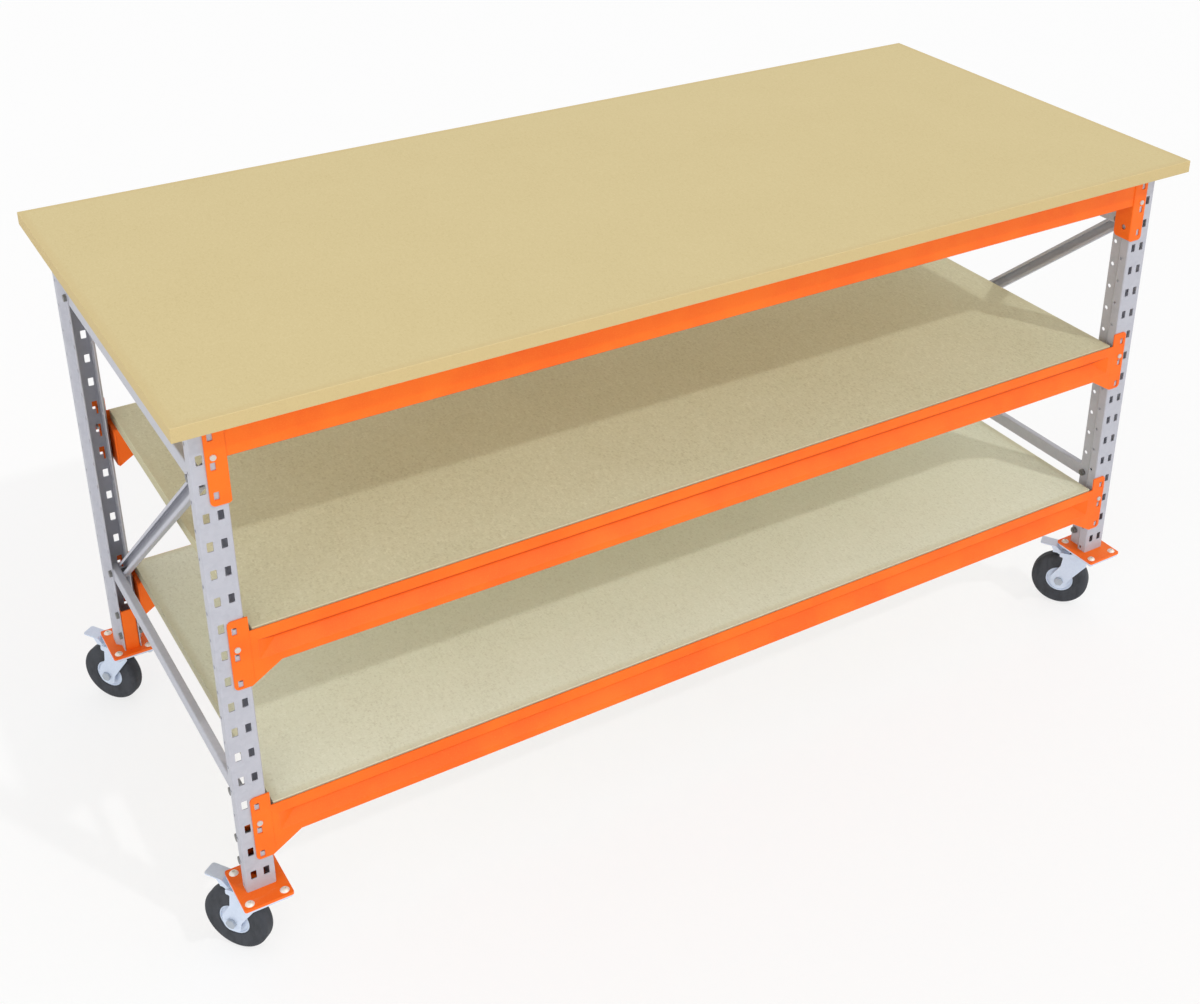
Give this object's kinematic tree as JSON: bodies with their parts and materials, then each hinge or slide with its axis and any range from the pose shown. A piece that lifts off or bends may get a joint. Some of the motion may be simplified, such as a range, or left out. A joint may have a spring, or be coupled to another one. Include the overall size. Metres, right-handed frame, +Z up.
{
  "type": "assembly table",
  "caption": "Mobile workbench of punched steel posts and hooked beams with a board worktop, shelves below and braked swivel castors.",
  "frame": {"origin": "on the floor, under the middle of the whole outline (castor pedals included)", "axes": "+Z up, +X along the table's length to the right as seen from the front, +Y from the front to the back"},
  "size_m": [2.0449, 0.9323, 1.081],
  "materials": {
    "worktop_board": "matt, sanded particle board",
    "shelf_board": "matt, raw particle board",
    "orange_paint": "satin powder coat",
    "galvanised": "matt, hot-dip galvanised sheet",
    "zinc_plated": "satin zinc plate",
    "tyre": "matt black rubber"
  },
  "bodies": {
    "frame": {"worktop": "worktop_board", "mid_shelf": "shelf_board", "low_shelf": "shelf_board", "post_front_left": "galvanised", "footplate_front_left": "orange_paint", "castor_plate_front_left": "zinc_plated", "post_front_right": "galvanised", "footplate_front_right": "orange_paint", "castor_plate_front_right": "zinc_plated", "post_back_left": "galvanised", "footplate_back_left": "orange_paint", "castor_plate_back_left": "zinc_plated", "post_back_right": "galvanised", "footplate_back_right": "orange_paint", "castor_plate_back_right": "zinc_plated", "top_brace_left": "galvanised", "diagonal_brace_left": "galvanised", "low_brace_left": "galvanised", "top_brace_right": "galvanised", "diagonal_brace_right": "galvanised", "low_brace_right": "galvanised", "top_beam_front": "orange_paint", "top_connectors_front": "orange_paint", "top_beam_back": "orange_paint", "top_connectors_back": "orange_paint", "mid_beam_front": "orange_paint", "mid_connectors_front": "orange_paint", "mid_beam_back": "orange_paint", "mid_connectors_back": "orange_paint", "low_beam_front": "orange_paint", "low_connectors_front": "orange_paint", "low_beam_back": "orange_paint", "low_connectors_back": "orange_paint", "safety_pins": "zinc_plated", "frame_bolts": "zinc_plated", "frame_nuts": "zinc_plated", "castor_bolts": "zinc_plated", "castor_nuts": "zinc_plated", "kingpins": "zinc_plated", "ball_cages": "zinc_plated"},
    "fork_front_left": {"castor_fork_front_left": "zinc_plated", "castor_axle_front_left": "zinc_plated"},
    "wheel_front_left": {"wheel_rim_front_left": "zinc_plated", "tyre_front_left": "tyre"},
    "pedal_front_left": {"brake_pedal_front_left": "zinc_plated"},
    "fork_front_right": {"castor_fork_front_right": "zinc_plated", "castor_axle_front_right": "zinc_plated"},
    "wheel_front_right": {"wheel_rim_front_right": "zinc_plated", "tyre_front_right": "tyre"},
    "pedal_front_right": {"brake_pedal_front_right": "zinc_plated"},
    "fork_back_left": {"castor_fork_back_left": "zinc_plated", "castor_axle_back_left": "zinc_plated"},
    "wheel_back_left": {"wheel_rim_back_left": "zinc_plated", "tyre_back_left": "tyre"},
    "pedal_back_left": {"brake_pedal_back_left": "zinc_plated"},
    "fork_back_right": {"castor_fork_back_right": "zinc_plated", "castor_axle_back_right": "zinc_plated"},
    "wheel_back_right": {"wheel_rim_back_right": "zinc_plated", "tyre_back_right": "tyre"},
    "pedal_back_right": {"brake_pedal_back_right": "zinc_plated"}
  },
  "joints": [
    {"name": "swivel_front_left", "type": "hinge", "parent": "frame", "child": "fork_front_left", "pos_m": [-0.946, -0.4, 0.142], "axis": [0, 0, 1], "continuous": true},
    {"name": "wheel_spin_front_left", "type": "hinge", "parent": "fork_front_left", "child": "wheel_front_left", "pos_m": [-0.97655, -0.35916, 0.0625], "axis": [-0.8007, -0.599, 0], "continuous": true},
    {"name": "pedal_front_left", "type": "hinge", "parent": "fork_front_left", "child": "pedal_front_left", "pos_m": [-0.97116, -0.36637, 0.131], "axis": [-0.8007, -0.599, 0], "range_deg": [0, 13.5]},
    {"name": "swivel_front_right", "type": "hinge", "parent": "frame", "child": "fork_front_right", "pos_m": [0.964, -0.4, 0.142], "axis": [0, 0, 1], "continuous": true},
    {"name": "wheel_spin_front_right", "type": "hinge", "parent": "fork_front_right", "child": "wheel_front_right", "pos_m": [0.93345, -0.35916, 0.0625], "axis": [-0.8007, -0.599, 0], "continuous": true},
    {"name": "pedal_front_right", "type": "hinge", "parent": "fork_front_right", "child": "pedal_front_right", "pos_m": [0.93884, -0.36637, 0.131], "axis": [-0.8007, -0.599, 0], "range_deg": [0, 13.5]},
    {"name": "swivel_back_left", "type": "hinge", "parent": "frame", "child": "fork_back_left", "pos_m": [-0.946, 0.37, 0.142], "axis": [0, 0, 1], "continuous": true},
    {"name": "wheel_spin_back_left", "type": "hinge", "parent": "fork_back_left", "child": "wheel_back_left", "pos_m": [-0.97655, 0.41084, 0.0625], "axis": [-0.8007, -0.599, 0], "continuous": true},
    {"name": "pedal_back_left", "type": "hinge", "parent": "fork_back_left", "child": "pedal_back_left", "pos_m": [-0.97116, 0.40363, 0.131], "axis": [-0.8007, -0.599, 0], "range_deg": [0, 13.5]},
    {"name": "swivel_back_right", "type": "hinge", "parent": "frame", "child": "fork_back_right", "pos_m": [0.964, 0.37, 0.142], "axis": [0, 0, 1], "continuous": true},
    {"name": "wheel_spin_back_right", "type": "hinge", "parent": "fork_back_right", "child": "wheel_back_right", "pos_m": [0.93345, 0.41084, 0.0625], "axis": [-0.8007, -0.599, 0], "continuous": true},
    {"name": "pedal_back_right", "type": "hinge", "parent": "fork_back_right", "child": "pedal_back_right", "pos_m": [0.93884, 0.40363, 0.131], "axis": [-0.8007, -0.599, 0], "range_deg": [0, 13.5]}
  ]
}
